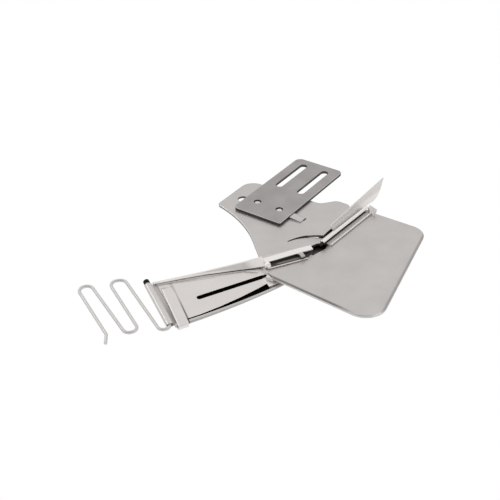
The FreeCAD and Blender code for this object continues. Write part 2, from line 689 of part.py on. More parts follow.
def turn_channel():
    """Channel on the base that carries the half-folded tape to the turn."""
    mid = CHANNEL_SHEET / 2
    back = far_edge(0)
    start = folder_point(CHANNEL_START_S, 0, 0)
    end = folder_point(CHANNEL_END_S, 0, 0)
    floor = [Vec(back - 1, mid, 0), Vec(CHANNEL_LIP_Q, mid, 0), Vec(CHANNEL_LIP_Q, CHANNEL_LIP_HEIGHT, 0)]
    outline = folded_outline(floor, [0.4], CHANNEL_SHEET)
    channel = Part.Face(outline_wire(outline, along_run(start, end))).extrude(end - start)
    plan = [(CHANNEL_START_S, back), (CHANNEL_END_S, CHANNEL_BACK_END_Q), (CHANNEL_END_S, CHANNEL_LEAF_Q),
            (CHANNEL_LIP_END_S, CHANNEL_LIP_Q), (CHANNEL_LIP_END_S, 9), (CHANNEL_START_S, 9)]
    corners = [folder_point(s, q, 0) for s, q in plan]
    channel = channel.common(prism([(c.x, c.y) for c in corners], -1, 10))
    # The back wall runs nearer to the lip and rises towards the turn
    low = folder_point(CHANNEL_START_S - 1, back - 0.14, 0)
    high = folder_point(CHANNEL_END_S + 1, CHANNEL_BACK_END_Q + 0.14, CHANNEL_RISE)
    wall = [
        Vec(0, -1.0, 0),
        Vec(0, RIDGE_AT_BASE, 0),
        Vec(CHANNEL_LEAF_WIDTH, RIDGE_AT_BASE - CHANNEL_LEAF_FALL, 0),
    ]
    outline = folded_outline(wall, [CHANNEL_BEND], CHANNEL_SHEET)
    upper = Part.Face(outline_wire(outline, along_run(low, high))).extrude(high - low)
    # The leaf is narrow, with one finger that reaches over the lip near the turn
    reach = 12.0
    leaf_q = CHANNEL_LEAF_Q
    finger = CHANNEL_FINGER_S
    finger_end = CHANNEL_FINGER_S + CHANNEL_FINGER_WIDTH
    tip = CHANNEL_LIP_Q - 0.3
    plan = [(CHANNEL_START_S, -reach), (CHANNEL_END_S, -reach), (CHANNEL_END_S, leaf_q), (finger_end, leaf_q),
            (finger_end, tip), (finger, tip), (finger, leaf_q), (CHANNEL_START_S, leaf_q)]
    leaf = prism_on_folder(plan, 0, reach)
    root = folder_point(finger, leaf_q, 0)
    leaf = round_corners(leaf, [(root.x, root.y, CHANNEL_FINGER_RADIUS)])
    upper = upper.common(leaf)
    return channel.fuse(upper).removeSplitter()


def delivery_channel():
    """Channel on its side that gives out the folded tape, with its turned-out end tab."""
    mid = DELIVERY_SHEET / 2
    inner = DELIVERY_WIDTH - mid
    top = DELIVERY_HEIGHT - mid
    points = [
        Vec(-mid, DELIVERY_LIP_HEIGHT, 0),
        Vec(-mid, mid, 0),
        Vec(-inner, mid, 0),
        Vec(-inner, top, 0),
        Vec(-DELIVERY_TOP_GAP, top, 0),
    ]
    bends = [0.35, DELIVERY_BEND, DELIVERY_TOP_BEND]
    sections = [(lambda p, run=run: delivery_point(run, p.x, p.y), points) for run in (0, DELIVERY_LENGTH)]
    channel = folded_sheet(sections, bends, DELIVERY_SHEET)
    left = -END_TAB_INSET
    right = left + END_TAB_WIDTH
    tab = [
        delivery_point(DELIVERY_LENGTH - DELIVERY_SHEET, left, 0.6),
        delivery_point(DELIVERY_LENGTH - DELIVERY_SHEET, right, 0),
        delivery_point(DELIVERY_LENGTH - DELIVERY_SHEET, right, END_TAB_HEIGHT - END_TAB_DROP),
        delivery_point(DELIVERY_LENGTH - DELIVERY_SHEET, left, END_TAB_HEIGHT + 0.2),
    ]
    tab_solid = Part.Face(Part.makePolygon(tab + tab[:1])).extrude(RUN_AXIS * DELIVERY_SHEET)
    return channel.fuse(tab_solid).removeSplitter()


def guide_blade():
    """Curved leaf that stands beside the delivery channel and runs on past the rear edge."""
    back = -DELIVERY_WIDTH - BLADE_SHEET / 2 - 0.05
    lean = math.tan(math.radians(BLADE_LEAN))
    high = BLADE_TIP_HEIGHT + 0.6
    foot = Vec(back, BLADE_FOOT_Z - 0.3, 0)
    head = Vec(back - lean * (high - BLADE_FOOT_Z), high, 0)
    middle = arc_mid(foot, head, BLADE_BOW)
    out = Vec(math.cos(math.radians(BLADE_LEAN)), math.sin(math.radians(BLADE_LEAN)), 0) * (BLADE_SHEET / 2)
    outline = [
        (foot + out, middle + out, head + out),
        (head + out, head - out),
        (head - out, middle - out, foot - out),
        (foot - out, foot + out),
    ]
    wires = [outline_wire(outline, lambda p, run=run: delivery_point(run, p.x, p.y))
             for run in (BLADE_START - 1, BLADE_REACH + 1)]
    leaf = Part.makeLoft(wires, True, True)
    foot_z = BLADE_FOOT_Z
    side = [
        (Vec(BLADE_START + 1.4, foot_z, 0), Vec(BLADE_FOOT_END, foot_z, 0)),
        (Vec(BLADE_FOOT_END, foot_z, 0), Vec(*BLADE_SWEEP, 0), Vec(*BLADE_SWEEP_END, 0)),
        (Vec(*BLADE_SWEEP_END, 0), Vec(BLADE_REACH, BLADE_TIP_HEIGHT, 0)),
        (Vec(BLADE_REACH, BLADE_TIP_HEIGHT, 0), Vec(BLADE_START + 1.0, BLADE_START_HEIGHT, 0)),
        (Vec(BLADE_START + 1.0, BLADE_START_HEIGHT, 0), Vec(BLADE_START, 2.6, 0),
         Vec(BLADE_START + 1.4, foot_z, 0)),
    ]
    profile = Part.Face(outline_wire(side, lambda p: delivery_point(p.x, -20, p.y)))
    return leaf.common(profile.extrude(SIDE_AXIS * 30))


def turn_cup():
    """Shallow closed cup under the turn, which the tape's lower fold passes through."""
    top = -BASE_THICK - SEAT_GAP
    solids = []
    for wall in (0, CUP_SHEET):
        left = WINDOW_TOP[0] - CUP_MARGIN + wall
        right = TURN_RIGHT[0] + CUP_MARGIN - wall
        narrow = WINDOW_RIGHT + CUP_MARGIN - wall
        front = TURN_FRONT[1] - CUP_MARGIN + wall
        rear = WINDOW_REAR + CUP_MARGIN - wall
        step = TURN_RIGHT[1] + 7.0 - wall
        outline = [(left, front), (right, front), (right, step), (narrow, step), (narrow, rear), (left, rear)]
        solids.append(prism(outline, top - CUP_DEPTH + wall, CUP_DEPTH))
    return solids[0].cut(solids[1]).cut(pressed_flap(-BASE_THICK - SEAT_GAP, 10))


NODES = {
    "fixing_plate": fixing_plate,
    "base_plate": base_plate,
    "rivet_left": lambda: rivet(-SLOT_PITCH / 2),
    "rivet_right": lambda: rivet(SLOT_PITCH / 2),
    "folder_shell": folder_shell,
    "folder_insert": folder_insert,
    "mouth_clip": mouth_clip,
    "wire_guide": wire_guide,
    "wire_cap": wire_cap,
    "turn_channel": turn_channel,
    "delivery_channel": delivery_channel,
    "guide_blade": guide_blade,
    "turn_cup": turn_cup,
}

os.makedirs("parts", exist_ok=True)
for name, make in NODES.items():
    solid = make()
    print(name, solid.ShapeType, len(solid.Solids), solid.isValid(), round(solid.Volume, 2))
    solid.exportStep("parts/" + name + ".step")
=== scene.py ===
"""Studio scene of the binder foot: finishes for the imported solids, the small dressing pieces that
only show close up, and the camera, light and backdrop."""

import math

import bmesh
import bpy
from bpy.props import FloatProperty, FloatVectorProperty, PointerProperty
from bpy.types import Operator, Panel, PropertyGroup
from mathutils import Matrix, Vector, noise


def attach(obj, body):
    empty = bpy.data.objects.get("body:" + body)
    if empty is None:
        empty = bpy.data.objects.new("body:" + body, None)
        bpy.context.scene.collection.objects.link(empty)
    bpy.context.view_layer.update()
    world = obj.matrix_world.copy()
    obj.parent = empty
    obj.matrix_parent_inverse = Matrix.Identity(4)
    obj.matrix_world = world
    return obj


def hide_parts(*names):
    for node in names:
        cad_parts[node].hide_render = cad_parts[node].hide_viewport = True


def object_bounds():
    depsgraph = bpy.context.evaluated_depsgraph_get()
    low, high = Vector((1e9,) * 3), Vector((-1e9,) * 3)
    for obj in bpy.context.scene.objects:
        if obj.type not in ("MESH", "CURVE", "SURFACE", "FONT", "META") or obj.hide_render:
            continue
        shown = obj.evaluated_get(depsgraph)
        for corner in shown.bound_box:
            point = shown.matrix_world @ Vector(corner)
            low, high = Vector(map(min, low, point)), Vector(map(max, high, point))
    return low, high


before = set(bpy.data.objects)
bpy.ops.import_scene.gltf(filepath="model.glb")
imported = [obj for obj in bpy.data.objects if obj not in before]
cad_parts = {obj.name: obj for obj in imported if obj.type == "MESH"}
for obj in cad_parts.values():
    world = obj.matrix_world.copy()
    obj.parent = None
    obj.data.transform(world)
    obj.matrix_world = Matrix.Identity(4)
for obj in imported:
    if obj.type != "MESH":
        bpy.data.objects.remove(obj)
cad_low, cad_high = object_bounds()

bl_info = {
    "name": "Binder foot",
    "version": (1, 0, 0),
    "blender": (4, 5, 0),
    "location": "3D Viewport > Sidebar > Binder foot",
    "description": "Finishes a sheet metal binder foot and sets up its studio scene",
    "category": "Object",
}

MM = 0.001

X_AXIS = Vector((1.0, 0.0, 0.0))
Y_AXIS = Vector((0.0, 1.0, 0.0))
UP = Vector((0.0, 0.0, 1.0))

# Soft border of a range that names none, in millimetres
SOFT_BORDER = 0.1

# Points of a cut or turned shape nearer than this, in metres, are one point
WELD = 1e-7

# Shares of the tone of painted light or shade that are its red, green and blue
PAINTED_SHADING_TINT = (1.0, 0.96, 0.93)

# The folder's own axes, in the row frame: s along the tape, q across it towards the front
FOLDER_ORIGIN = Vector((27.0, -80.0, 0.0)) * MM
FOLDER_YAW = math.radians(31.0)
FOLDER_ROLL = math.tan(math.radians(6.0))
FOLDER_FACE_Z = -1.6 * MM
S_AXIS = Vector((math.sin(FOLDER_YAW), math.cos(FOLDER_YAW), 0.0))
Q_AXIS = Vector((math.cos(FOLDER_YAW), -math.sin(FOLDER_YAW), 0.0))

# The delivery channel's near foot and its own axes, along it and across it
DELIVERY_ORIGIN = Vector((46.8, -48.3, 0.0)) * MM
DELIVERY_YAW = math.radians(3.5)
RUN_AXIS = Vector((math.sin(DELIVERY_YAW), math.cos(DELIVERY_YAW), 0.0))
SIDE_AXIS = Vector((math.cos(DELIVERY_YAW), -math.sin(DELIVERY_YAW), 0.0))

# Ways across the insert's crease and across the leaf's near edge
CREASE_AXIS = Q_AXIS * 0.988 - S_AXIS * 0.1548
LEAF_AXIS = Q_AXIS - 0.184 * S_AXIS

# The base sheet's front edge: a point on it, the way along it and the way out of it
FRONT_EDGE = Vector((33.2, -87.4, 0.0)) * MM
FRONT_RUN = Vector((62.4, -4.0, 0.0)).normalized()
FRONT_AXIS = Vector((-4.0, -62.4, 0.0)).normalized()

# The base sheet's right edge: a point on it and the way out of it
RIGHT_EDGE = Vector((92.9, -77.6, 0.0)) * MM
RIGHT_AXIS = Vector((62.6, 11.1, 0.0)).normalized()

# The base sheet's corner is cut this many millimetres before the folder's origin
CORNER_CUT = 1.65

# The strap's edge towards the base: a point (s, q) on it and the way across it, and the way across its
# edge at the mouth
STRAP_EDGE = Vector((-47.6, -1.6, 0.0)) * MM
STRAP_AXIS = S_AXIS * 0.9977 + Q_AXIS * 0.0674
STRAP_MOUTH_AXIS = S_AXIS * 0.9983 + Q_AXIS * 0.0576

# Circle of the slit that the turn window's swept side leaves, and how far its shade reaches from it
SLIT_CENTRE = Vector((48.05, -61.98, 0.0)) * MM
SLIT_RADIUS = 22.36 * MM
SLIT_SHADE = 0.45 * MM

# Places on the plates
WINDOW_MIDDLE = Vector((36.0, -48.0, 0.0)) * MM
LOCATING_HOLE = Vector((-16.7, -35.0, 0.0)) * MM
RIVETS = {"rivet_left": -7.0 * MM, "rivet_right": 7.0 * MM}
RIVET_ROW = -35.0 * MM

# Half of a rivet's section, as (radius, height) in millimetres, and the steps of its turn
RIVET_PROFILE = [(0.0, -2.1), (2.2, -2.08), (2.95, -1.85), (3.3, -1.5), (3.3, -1.2), (2.0, -1.2), (2.0, 0.55),
                 (1.9, 0.78), (1.5, 1.05), (0.9, 1.22), (0.0, 1.28)]
RIVET_STEPS = 40

# The folder's far edge and the width of the leaf from it, in millimetres, each at s = 0 and with its slope,
# then the leaf's least width, and where along s it starts to lift and how fast
FAR_EDGE = (-2.9, 0.093)
LEAF_WIDTH = (4.4, 0.09)
LEAF_LEAST = 1.4
LIFT_START = -11.0
LIFT_SLOPE = 0.15

# Where the drawn-down edge of the base leaves the cut sheet, in millimetres along s
STEP_ROOT = -1.55

# Colour of the cup under the turn window, painted near black for the shade seen inside the window
CUP_SHADE_TONE = (0.13, 0.12, 0.11)

# Where the delivery channel's pieces start and end along its run, in millimetres
LIP_RUN = (0.0, 40.1)
RIDGE_RUN = (-3.4, 39.8)
TAB_RUN = (38.4, 39.0)

# The ridge's middle and its outer and inner radius, in millimetres, and the height above which the tab leans
RIDGE_MIDDLE = (-3.3, 2.35)
RIDGE_RADII = (1.25, 0.65)
TAB_ROOT = 0.9 * MM
TAB_LEAN = math.radians(30)

# The solder bead: its middle and its radii along s, q and upwards, in millimetres, how far below the middle
# it ends, and how uneven it is
BEAD_MIDDLE = (0.1, 3.7, 0.9)
BEAD_RADII = (1.7, 1.8, 1.7)
BEAD_BELOW = -0.8 * MM
BEAD_WOBBLE = 0.22

# The studio dome: the sines of the heights between which its tone rises, the tones there, and the height,
# half width and tone of its dark part, which is above and behind the camera
DOME_HEIGHTS = (-0.05, 0.75)
DOME_TONES = (0.62, 0.9)
DARK_HEIGHT = math.radians(50.0)
DARK_SPREAD = math.radians(40.0)
DARK_TONE = 0.12

# The lamps: name, place, width in metres and power in watts, and the point that they shine on
LAMPS = (("Key lamp", (-0.55, -0.15, 0.55), 0.35, 1.0), ("Fill lamp", (0.6, 0.1, 0.5), 0.4, 0.6))
LAMP_TARGET = (0.02, -0.06, 0.0)

# Clear height between the part and the floor, and half the floor's width
FLOOR_DROP = 0.2 * MM
FLOOR_REACH = 2.0


class FinishSettings(PropertyGroup):
    """Colours and gloss of the metals."""
    base_tone: FloatVectorProperty(
        name="Base sheet", description="Colour of the satin base sheet", subtype="COLOR",
        size=3, default=(0.615, 0.588, 0.574), min=0.0, max=1.0)
    plate_tone: FloatVectorProperty(
        name="Fixing plate", description="Colour of the rough fixing plate", subtype="COLOR",
        size=3, default=(0.44, 0.418, 0.41), min=0.0, max=1.0)
    folder_tone: FloatVectorProperty(
        name="Folder", description="Colour of the polished folder", subtype="COLOR",
        size=3, default=(0.745, 0.71, 0.688), min=0.0, max=1.0)
    wire_tone: FloatVectorProperty(
        name="Wire", description="Colour of the drawn wire", subtype="COLOR",
        size=3, default=(0.62, 0.62, 0.60), min=0.0, max=1.0)
    base_roughness: FloatProperty(
        name="Base roughness", description="Roughness of the base sheet", default=0.38, min=0.0, max=1.0)
    plate_roughness: FloatProperty(
        name="Plate roughness", description="Roughness of the fixing plate", default=0.5, min=0.0, max=1.0)
    folder_roughness: FloatProperty(
        name="Folder roughness", description="Roughness of the folder", default=0.22, min=0.0, max=1.0)


class StageSettings(PropertyGroup):
    """Camera, light and backdrop."""
    camera_place: FloatVectorProperty(
        name="Camera", description="Camera's place in the row frame", subtype="TRANSLATION", unit="LENGTH",
        size=3, default=(0.22543, -0.38446, 0.25448))
    azimuth: FloatProperty(
        name="Azimuth", description="Turn of the camera about the vertical", subtype="ANGLE",
        default=math.radians(34.193))
    elevation: FloatProperty(
        name="Elevation", description="Height of the camera above the horizon", subtype="ANGLE",
        default=math.radians(34.151))
    lens: FloatProperty(name="Lens", description="Focal length in millimetres", default=64.8, min=10.0)
    sky: FloatProperty(name="Sky", description="Strength of the studio dome", default=1.0, min=0.0)


def socket(group, name, direction, kind, default=None):
    """Input or output of a node group."""
    item = group.interface.new_socket(name=name, in_out=direction, socket_type=kind)
    if default is not None:
        item.default_value = default
    return item


def grain_group():
    """Fine random variation of a metal surface: a mottle factor and a height for bump."""
    group = bpy.data.node_groups.get("Metal grain")
    if group:
        return group
    group = bpy.data.node_groups.new("Metal grain", "ShaderNodeTree")
    socket(group, "Stretch", "INPUT", "NodeSocketVector", (1.0, 1.0, 1.0))
    socket(group, "Grain scale", "INPUT", "NodeSocketFloat", 900.0)
    socket(group, "Mottle", "OUTPUT", "NodeSocketFloat")
    socket(group, "Height", "OUTPUT", "NodeSocketFloat")
    nodes, links = group.nodes, group.links
    given = nodes.new("NodeGroupInput")
    out = nodes.new("NodeGroupOutput")
    place = nodes.new("ShaderNodeTexCoord")
    stretch = nodes.new("ShaderNodeVectorMath")
    stretch.operation = "MULTIPLY"
    links.new(place.outputs["Object"], stretch.inputs[0])
    links.new(given.outputs["Stretch"], stretch.inputs[1])
    fine = nodes.new("ShaderNodeTexNoise")
    fine.inputs["Detail"].default_value = 4.0
    links.new(stretch.outputs[0], fine.inputs["Vector"])
    links.new(given.outputs["Grain scale"], fine.inputs["Scale"])
    cloud = nodes.new("ShaderNodeTexNoise")
    cloud.inputs["Scale"].default_value = 70.0
    cloud.inputs["Detail"].default_value = 3.0
    links.new(place.outputs["Object"], cloud.inputs["Vector"])
    links.new(cloud.outputs["Fac"], out.inputs["Mottle"])
    links.new(fine.outputs["Fac"], out.inputs["Height"])
    return group


def vector_dot(nodes, links, vector, constant):
    """Socket with the dot product of a vector socket and a fixed vector."""
    node = nodes.new("ShaderNodeVectorMath")
    node.operation = "DOT_PRODUCT"
    links.new(vector, node.inputs[0])
    node.inputs[1].default_value = constant
    return node.outputs["Value"]


def between(nodes, links, value, low, high, start=0.0, end=1.0):
    """Value carried from low..high to start..end, without going past them."""
    node = nodes.new("ShaderNodeMapRange")
    node.interpolation_type = "SMOOTHSTEP"
    node.inputs["From Min"].default_value = low
    node.inputs["From Max"].default_value = high
    node.inputs["To Min"].default_value = start
    node.inputs["To Max"].default_value = end
    links.new(value, node.inputs["Value"])
    return node.outputs["Result"]


def times(nodes, links, first, second):
    """Socket with the product of two sockets."""
    node = nodes.new("ShaderNodeMath")
    node.operation = "MULTIPLY"
    links.new(first, node.inputs[0])
    links.new(second, node.inputs[1])
    return node.outputs[0]


def zone(material, origin, ranges):
    """Socket that is 1 where a point lies in all the ranges from origin, and 0 outside.

    A range is (axis, low, high) in millimetres and can end with the width of its own soft border.
    """
    nodes, links = material.node_tree.nodes, material.node_tree.links
    place = nodes.new("ShaderNodeTexCoord").outputs["Object"]
    mask = None
    for axis, low, high, *own in ranges:
        border = (own[0] if own else SOFT_BORDER) * MM
        along = vector_dot(nodes, links, place, axis)
        start = low * MM + origin.dot(axis)
        end = high * MM + origin.dot(axis)
        above = between(nodes, links, along, start - border, start)
        below = between(nodes, links, along, end, end + border, 1.0, 0.0)
        inside = times(nodes, links, above, below)
        mask = inside if mask is None else times(nodes, links, mask, inside)
    return mask


def ring(material, centre, radius, width):
    """Socket that is 1 within width of a circle about an upright line."""
    nodes, links = material.node_tree.nodes, material.node_tree.links
    place = nodes.new("ShaderNodeTexCoord").outputs["Object"]
    flat = nodes.new("ShaderNodeVectorMath")
    flat.operation = "MULTIPLY"
    links.new(place, flat.inputs[0])
    flat.inputs[1].default_value = (1.0, 1.0, 0.0)
    away = nodes.new("ShaderNodeVectorMath")
    away.operation = "DISTANCE"
    links.new(flat.outputs[0], away.inputs[0])
    away.inputs[1].default_value = centre
    core = 0.6 * width
    inner = between(nodes, links, away.outputs["Value"], radius - width, radius - core)
    outer = between(nodes, links, away.outputs["Value"], radius + core, radius + width, 1.0, 0.0)
    return times(nodes, links, inner, outer)


def facing(material, axis, low, high):
    """Socket that rises from 0 to 1 as a surface turns towards axis, between two cosines."""
    nodes, links = material.node_tree.nodes, material.node_tree.links
    turned = vector_dot(nodes, links, nodes.new("ShaderNodeTexCoord").outputs["Normal"], axis)
    if low < high:
        return between(nodes, links, turned, low, high)
    return between(nodes, links, turned, high, low, 1.0, 0.0)


def paint_shading(material, masks, tone, share=1.0):
    """Paint light or shade over a metal, as a dull diffuse colour mixed in where all the masks are 1."""
    nodes, links = material.node_tree.nodes, material.node_tree.links
    mask = masks[0]
    for other in masks[1:]:
        mask = times(nodes, links, mask, other)
    output = nodes["Material Output"].inputs["Surface"]
    under = output.links[0].from_socket
    dull = nodes.new("ShaderNodeBsdfDiffuse")
    dull.inputs["Color"].default_value = (*(part * tone for part in PAINTED_SHADING_TINT), 1.0)
    amount = nodes.new("ShaderNodeMath")
    amount.operation = "MULTIPLY"
    links.new(mask, amount.inputs[0])
    amount.inputs[1].default_value = share
    mix = nodes.new("ShaderNodeMixShader")
    links.new(amount.outputs[0], mix.inputs["Fac"])
    links.new(under, mix.inputs[1])
    links.new(dull.outputs[0], mix.inputs[2])
    links.new(mix.outputs[0], output)


def ramp(nodes, stops):
    """Colour ramp with stops of (place, grey or colour)."""
    node = nodes.new("ShaderNodeValToRGB")
    elements = node.color_ramp.elements
    while len(elements) < len(stops):
        elements.new(0.5)
    for element, (place, value) in zip(elements, stops):
        element.position = place
        element.color = (*value, 1.0) if isinstance(value, tuple) else (value, value, value, 1.0)
    return node


def scaled(tone, gain):
    """Colour times gain, no brighter than white."""
    return tuple(min(1.0, gain * part) for part in tone)


def metal(name, tone, roughness, stretch=(1.0, 1.0, 1.0), scale=900.0, mottle=0.08, bump=0.15, spread=0.1,
          edge=0.15 * MM):
    """Bare steel whose colour, gloss and height vary a little, with edges that look rounded by edge."""
    material = bpy.data.materials.new(name)
    material.use_nodes = True
    nodes, links = material.node_tree.nodes, material.node_tree.links
    shader = nodes["Principled BSDF"]
    shader.inputs["Metallic"].default_value = 1.0
    grain = nodes.new("ShaderNodeGroup")
    grain.node_tree = grain_group()
    grain.inputs["Stretch"].default_value = stretch
    grain.inputs["Grain scale"].default_value = scale
    colour = ramp(nodes, [(0.3, scaled(tone, 1.0 - mottle)), (0.7, scaled(tone, 1.0 + mottle))])
    links.new(grain.outputs["Mottle"], colour.inputs["Fac"])
    links.new(colour.outputs["Color"], shader.inputs["Base Color"])
    gloss = ramp(nodes, [(0.25, max(0.02, roughness - spread)), (0.75, min(1.0, roughness + spread))])
    links.new(grain.outputs["Height"], gloss.inputs["Fac"])
    links.new(gloss.outputs["Color"], shader.inputs["Roughness"])
    lift = nodes.new("ShaderNodeBump")
    lift.inputs["Strength"].default_value = bump
    lift.inputs["Distance"].default_value = 0.05 * MM
    links.new(grain.outputs["Height"], lift.inputs["Height"])
    links.new(lift.outputs["Normal"], shader.inputs["Normal"])
    rounding = nodes.new("ShaderNodeBevel")
    rounding.samples = 6
    rounding.inputs["Radius"].default_value = edge
    links.new(rounding.outputs["Normal"], lift.inputs["Normal"])
    return material


def finish_mesh(name, shape, material, smooth=False):
    """Object of a bmesh shape, with its material."""
    bmesh.ops.recalc_face_normals(shape, faces=shape.faces[:])
    mesh = bpy.data.meshes.new(name)
    shape.to_mesh(mesh)
    shape.free()
    if smooth:
        for face in mesh.polygons:
            face.use_smooth = True
    mesh.materials.append(material)
    made = bpy.data.objects.new(name, mesh)
    bpy.context.scene.collection.objects.link(made)
    return made


def lathe(name, profile, steps, material):
    """Smooth object turned about Z from a profile of (radius, height) in millimetres."""
    shape = bmesh.new()
    verts = [shape.verts.new((radius * MM, 0.0, height * MM)) for radius, height in profile]
    edges = [shape.edges.new(pair) for pair in zip(verts, verts[1:])]
    bmesh.ops.spin(shape, geom=verts + edges, cent=(0, 0, 0), axis=(0, 0, 1), angle=math.tau, steps=steps)
    bmesh.ops.remove_doubles(shape, verts=shape.verts[:], dist=WELD)
    return finish_mesh(name, shape, material, smooth=True)


def arc(centre, radius, start, end, steps):
    """Points (x, y) along an arc between two angles in degrees."""
    turns = [math.radians(start + (end - start) * i / steps) for i in range(steps + 1)]
    return [(centre[0] + radius * math.cos(turn), centre[1] + radius * math.sin(turn)) for turn in turns]


def close_rings(shape, rings):
    """Join rings of points, one after another, into a closed solid."""
    shape.faces.new(rings[0])
    shape.faces.new(rings[-1][::-1])
    for first, last in zip(rings, rings[1:]):
        for i in range(len(first)):
            j = (i + 1) % len(first)
            shape.faces.new((first[i], last[i], last[j], first[j]))


def folder_way(s, q, z):
    """Way of s along the folder, q across it and z upwards, in millimetres."""
    return (S_AXIS * s + Q_AXIS * q + UP * z) * MM


def folder_point(s, q, over):
    """Point at s and q of the folder, in millimetres, and over its flat face."""
    face = FOLDER_FACE_Z + (over - FOLDER_ROLL * q) * MM
    return FOLDER_ORIGIN + (S_AXIS * s + Q_AXIS * q) * MM + UP * face


def along_delivery(shape, outline, start, end):
    """Add to shape a closed outline of (side, height) carried along the delivery channel, in millimetres."""
    rings = []
    for run in (start, end):
        place = DELIVERY_ORIGIN + RUN_AXIS * run * MM
        rings.append([shape.verts.new(place + SIDE_AXIS * side * MM + UP * z * MM) for side, z in outline])
    close_rings(shape, rings)


def dress(node, material):
    """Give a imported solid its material."""
    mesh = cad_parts[node].data
    mesh.materials.clear()
    mesh.materials.append(material)


class BINDER_OT_plates(Operator):
    """Finish the fixing plate and the base sheet, with painted light and shade"""
    bl_idname = "binder.plates"
    bl_label = "Finish the plates"

    def execute(self, context):
        look = context.scene.binder_finish
        plate = metal("Rough steel", look.plate_tone, look.plate_roughness, scale=1300.0, mottle=0.09,
                      bump=0.8, spread=0.14, edge=0.35 * MM)
        # Painted highlight on the plate's chamfered rims and painted shade on its side walls
        paint_shading(plate, [facing(plate, UP, 0.9, 0.8), facing(plate, UP, 0.5, 0.6)], tone=0.8, share=0.45)
        paint_shading(plate, [facing(plate, UP, 0.7, 0.4)], tone=0.035, share=0.85)
        dress("fixing_plate", plate)
        base = metal("Satin steel", look.base_tone, look.base_roughness, scale=1100.0, mottle=0.04, bump=0.12,
                     edge=0.6 * MM)
        # Painted shade on the walls of the turn window, in the slit and in the locating hole
        walls = [facing(base, UP, 0.6, 0.3), facing(base, UP, -0.6, -0.3)]
        window = zone(base, WINDOW_MIDDLE, [(X_AXIS, -12, 11), (Y_AXIS, -19, 17), (UP, -2.0, 0.1)])
        paint_shading(base, [*walls, window], tone=0.16, share=0.85)
        slit = zone(base, WINDOW_MIDDLE, [(X_AXIS, -9.9, -5, 1.5), (Y_AXIS, -9.0, 4)])
        paint_shading(base, [slit, ring(base, SLIT_CENTRE, SLIT_RADIUS, SLIT_SHADE)], tone=0.02, share=0.85)
        hole = zone(base, LOCATING_HOLE, [(X_AXIS, -3.2, 3.2), (Y_AXIS, -3.2, 3.2)])
        paint_shading(base, [*walls, hole], tone=0.05, share=0.8)
        # Painted shade along the front and right rims, as their rounded edges reflect the dark room, and on
        # the walls of the left edge
        flat = facing(base, UP, 0.5, 0.65)
        rim = zone(base, FRONT_EDGE, [(FRONT_AXIS, -0.7, 0.4, 1.1), (FRONT_RUN, 2, 38, 14)])
        paint_shading(base, [rim, flat], tone=0.08, share=0.72)
        right = zone(base, RIGHT_EDGE, [(RIGHT_AXIS, -0.3, 0.8, 1.2)])
        paint_shading(base, [right, flat], tone=0.08, share=0.4)
        left = zone(base, FRONT_EDGE, [(X_AXIS, -90, -6.5)])
        paint_shading(base, [*walls, left], tone=0.12, share=0.7)
        # Painted light on the side walls along the front edge and on the cut wall at the corner
        side = zone(base, FRONT_EDGE, [(FRONT_AXIS, -1.0, 1.0)])
        paint_shading(base, [*walls, side], tone=0.72, share=0.7)
        cut = zone(base, FOLDER_ORIGIN, [(S_AXIS, -CORNER_CUT - 0.15, -CORNER_CUT + 0.15)])
        paint_shading(base, [cut, facing(base, -S_AXIS, 0.5, 0.8)], tone=1.0, share=0.9)
        self.trimmed_sheet(context, base)
        return {"FINISHED"}

    def trimmed_sheet(self, context, material):
        """The base sheet with its corner over the folder cut square to the tape's path and walled up."""
        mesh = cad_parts["base_plate"].data.copy()
        shape = bmesh.new()
        shape.from_mesh(mesh)
        place = FOLDER_ORIGIN - S_AXIS * CORNER_CUT * MM
        cut = bmesh.ops.bisect_plane(shape, geom=shape.verts[:] + shape.edges[:] + shape.faces[:], dist=WELD,
                                     plane_co=place, plane_no=S_AXIS, clear_inner=True)
        ends = [[vert.co.copy() for vert in edge.verts] for edge in cut["geom_cut"]
                if isinstance(edge, bmesh.types.BMEdge)]
        wall = [[shape.verts.new(co) for co in pair] for pair in ends]
        outline = [shape.edges.new(pair) for pair in wall]
        weld = 0.002 * MM
        bmesh.ops.remove_doubles(shape, verts=[vert for pair in wall for vert in pair], dist=weld)
        bmesh.ops.holes_fill(shape, edges=[edge for edge in outline if edge.is_valid])
        shape.to_mesh(mesh)
        shape.free()
        mesh.name = "base_sheet"
        mesh.materials.clear()
        mesh.materials.append(material)
        sheet = bpy.data.objects.new("base_sheet", mesh)
        context.scene.collection.objects.link(sheet)
        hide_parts("base_plate")
        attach(sheet, "root")


class BINDER_OT_rivets(Operator):
    """Turn the two rivets, with a head below and a domed end in the plate's hole"""
    bl_idname = "binder.rivets"
    bl_label = "Make the rivets"

    def execute(self, context):
        look = context.scene.binder_finish
        # Painted highlight on the rivet's dome; the rivet steel itself is lighter than the plate's
        steel = metal("Rivet steel", scaled(look.plate_tone, 1.7), roughness=0.32, mottle=0.1, bump=0.25)
        paint_shading(steel, [facing(steel, UP, 0.5, 0.9)], tone=0.9, share=0.35)
        for node, x in RIVETS.items():
            rivet = lathe(node + "_domed", RIVET_PROFILE, RIVET_STEPS, steel)
            rivet.data.transform(Matrix.Translation((x, RIVET_ROW, 0.0)))
            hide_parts(node)
            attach(rivet, "root")
        return {"FINISHED"}


